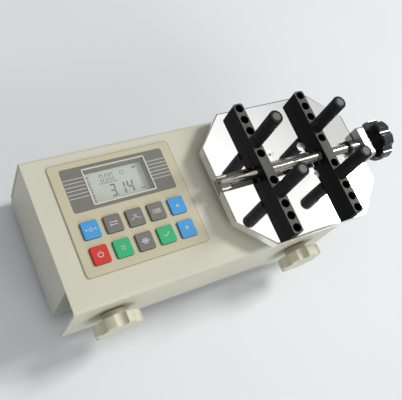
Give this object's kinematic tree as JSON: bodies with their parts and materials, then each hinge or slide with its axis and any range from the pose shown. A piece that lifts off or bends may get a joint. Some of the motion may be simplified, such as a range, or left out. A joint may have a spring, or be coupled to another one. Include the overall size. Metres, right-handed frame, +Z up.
{
  "type": "torque tester",
  "caption": "Bench torque tester for screw caps: sheet-metal housing with display and keys, a polished platform on a torque sensor, and peg jaws closed by a screw.",
  "frame": {"origin": "on the table, below the middle of the whole tester's box", "axes": "+X along the housing towards the clamp knob, -Y towards the user, +Z up"},
  "size_m": [0.2978, 0.1356, 0.1323],
  "materials": {
    "cover_paint": "cream powder coat, satin",
    "chassis_paint": "grey-cream powder coat, satin",
    "rubber": "black, matt",
    "overlay": "khaki printed film",
    "field": "grey printed film",
    "bezel": "off-white moulding",
    "lens": "clear window",
    "display": "grey-green reflective display",
    "board": "green circuit board",
    "key_blue": "satin",
    "key_grey": "satin",
    "key_green": "satin",
    "key_red": "satin",
    "zinc": "zinc plated",
    "battery": "shrink film",
    "black_plastic": "moulded",
    "aluminium": "turned",
    "black_steel": "black oxide",
    "mirror_chrome": "polished and chrome plated",
    "polished_steel": "ground and polished",
    "jaw_black": "black anodised, satin",
    "knob_black": "moulded phenolic",
    "knob_cream": "moulded, satin"
  },
  "bodies": {
    "housing": {"base_chassis": "chassis_paint", "rubber_feet": "rubber", "top_cover": "cover_paint", "cover_screws": "zinc", "keypad_overlay": "overlay", "display_fascia": "field", "display_bezel": "bezel", "display_lens": "lens", "display_module": "display", "keypad_board": "board", "main_board": "board", "board_standoffs": "zinc", "board_screws": "zinc", "battery_pack": "battery", "battery_strap": "zinc", "charging_socket": "black_plastic", "data_socket": "zinc", "sensor_base": "aluminium", "torque_sensor": "aluminium", "sensor_screws": "black_steel", "drive_hub": "aluminium", "hub_bolt": "black_steel", "dust_seal": "rubber", "clamp_platform": "mirror_chrome", "platform_screws": "zinc", "screw_saddles": "aluminium", "screw_bracket": "mirror_chrome", "bracket_screws": "black_steel", "weld_nuts": "zinc"},
    "clamp_drive": {"clamp_screw": "polished_steel", "thrust_collars": "black_steel", "clamp_knob": "knob_black"},
    "left_jaw_slide": {"left_jaw": "jaw_black"},
    "right_jaw_slide": {"right_jaw": "jaw_black"},
    "left_rear_peg": {"left_rear_pin": "polished_steel", "left_rear_sleeve": "rubber"},
    "left_front_peg": {"left_front_pin": "polished_steel", "left_front_sleeve": "rubber"},
    "right_rear_peg": {"right_rear_pin": "polished_steel", "right_rear_sleeve": "rubber"},
    "right_front_peg": {"right_front_pin": "polished_steel", "right_front_sleeve": "rubber"},
    "zero_key_cap": {"zero_key": "key_blue"},
    "unit_key_cap": {"unit_key": "key_grey"},
    "peak_key_cap": {"peak_key": "key_grey"},
    "memory_key_cap": {"memory_key": "key_grey"},
    "up_key_cap": {"up_key": "key_blue"},
    "power_key_cap": {"power_key": "key_red"},
    "clear_key_cap": {"clear_key": "key_green"},
    "print_key_cap": {"print_key": "key_grey"},
    "set_key_cap": {"set_key": "key_green"},
    "down_key_cap": {"down_key": "key_blue"},
    "left_pad": {"left_pressure_pad": "rubber"},
    "left_hand_screw": {"left_stud": "zinc", "left_hand_knob": "knob_cream"},
    "right_pad": {"right_pressure_pad": "rubber"},
    "right_hand_screw": {"right_stud": "zinc", "right_hand_knob": "knob_cream"}
  },
  "joints": [
    {"name": "clamp_turn", "type": "hinge", "parent": "housing", "child": "clamp_drive", "pos_m": [0.13795, 0.0028, 0.0848], "axis": [1, 0, 0], "range_deg": [-3420.36, 4356.36]},
    {"name": "left_jaw_travel", "type": "slide", "parent": "housing", "child": "left_jaw_slide", "axis": [1, 0, 0], "range_m": [-0.019, 0.0242]},
    {"name": "right_jaw_travel", "type": "slide", "parent": "housing", "child": "right_jaw_slide", "axis": [-1, 0, 0], "range_m": [-0.019, 0.0242]},
    {"name": "left_rear_peg_lift", "type": "slide", "parent": "left_jaw_slide", "child": "left_rear_peg", "axis": [0, 0, 1], "range_m": [0, 0.012]},
    {"name": "left_front_peg_lift", "type": "slide", "parent": "left_jaw_slide", "child": "left_front_peg", "axis": [0, 0, 1], "range_m": [0, 0.012]},
    {"name": "right_rear_peg_lift", "type": "slide", "parent": "right_jaw_slide", "child": "right_rear_peg", "axis": [0, 0, 1], "range_m": [0, 0.012]},
    {"name": "right_front_peg_lift", "type": "slide", "parent": "right_jaw_slide", "child": "right_front_peg", "axis": [0, 0, 1], "range_m": [0, 0.012]},
    {"name": "zero_press", "type": "slide", "parent": "housing", "child": "zero_key_cap", "axis": [0, 0, -1], "range_m": [0, 0.0008], "stiffness_N_per_m": 400, "springref_m": -0.001},
    {"name": "unit_press", "type": "slide", "parent": "housing", "child": "unit_key_cap", "axis": [0, 0, -1], "range_m": [0, 0.0008], "stiffness_N_per_m": 400, "springref_m": -0.001},
    {"name": "peak_press", "type": "slide", "parent": "housing", "child": "peak_key_cap", "axis": [0, 0, -1], "range_m": [0, 0.0008], "stiffness_N_per_m": 400, "springref_m": -0.001},
    {"name": "memory_press", "type": "slide", "parent": "housing", "child": "memory_key_cap", "axis": [0, 0, -1], "range_m": [0, 0.0008], "stiffness_N_per_m": 400, "springref_m": -0.001},
    {"name": "up_press", "type": "slide", "parent": "housing", "child": "up_key_cap", "axis": [0, 0, -1], "range_m": [0, 0.0008], "stiffness_N_per_m": 400, "springref_m": -0.001},
    {"name": "power_press", "type": "slide", "parent": "housing", "child": "power_key_cap", "axis": [0, 0, -1], "range_m": [0, 0.0008], "stiffness_N_per_m": 400, "springref_m": -0.001},
    {"name": "clear_press", "type": "slide", "parent": "housing", "child": "clear_key_cap", "axis": [0, 0, -1], "range_m": [0, 0.0008], "stiffness_N_per_m": 400, "springref_m": -0.001},
    {"name": "print_press", "type": "slide", "parent": "housing", "child": "print_key_cap", "axis": [0, 0, -1], "range_m": [0, 0.0008], "stiffness_N_per_m": 400, "springref_m": -0.001},
    {"name": "set_press", "type": "slide", "parent": "housing", "child": "set_key_cap", "axis": [0, 0, -1], "range_m": [0, 0.0008], "stiffness_N_per_m": 400, "springref_m": -0.001},
    {"name": "down_press", "type": "slide", "parent": "housing", "child": "down_key_cap", "axis": [0, 0, -1], "range_m": [0, 0.0008], "stiffness_N_per_m": 400, "springref_m": -0.001},
    {"name": "left_pad_travel", "type": "slide", "parent": "housing", "child": "left_pad", "axis": [0, -1, 0], "range_m": [0, 0.0065]},
    {"name": "left_hand_turn", "type": "hinge", "parent": "left_pad", "child": "left_hand_screw", "pos_m": [-0.11545, -0.0532, 0.039], "axis": [0, -1, 0], "range_deg": [0, 1872]},
    {"name": "right_pad_travel", "type": "slide", "parent": "housing", "child": "right_pad", "axis": [0, -1, 0], "range_m": [0, 0.0065]},
    {"name": "right_hand_turn", "type": "hinge", "parent": "right_pad", "child": "right_hand_screw", "pos_m": [0.04855, -0.0532, 0.039], "axis": [0, -1, 0], "range_deg": [0, 1872]}
  ],
  "couplings": [
    {"joint": "clamp_turn", "follows": "left_jaw_travel", "rad_per_m": 3141.6},
    {"joint": "right_jaw_travel", "follows": "left_jaw_travel", "ratio": 1},
    {"joint": "left_pad_travel", "follows": "left_hand_turn", "m_per_rad": 0.00019894},
    {"joint": "right_pad_travel", "follows": "right_hand_turn", "m_per_rad": 0.00019894}
  ]
}
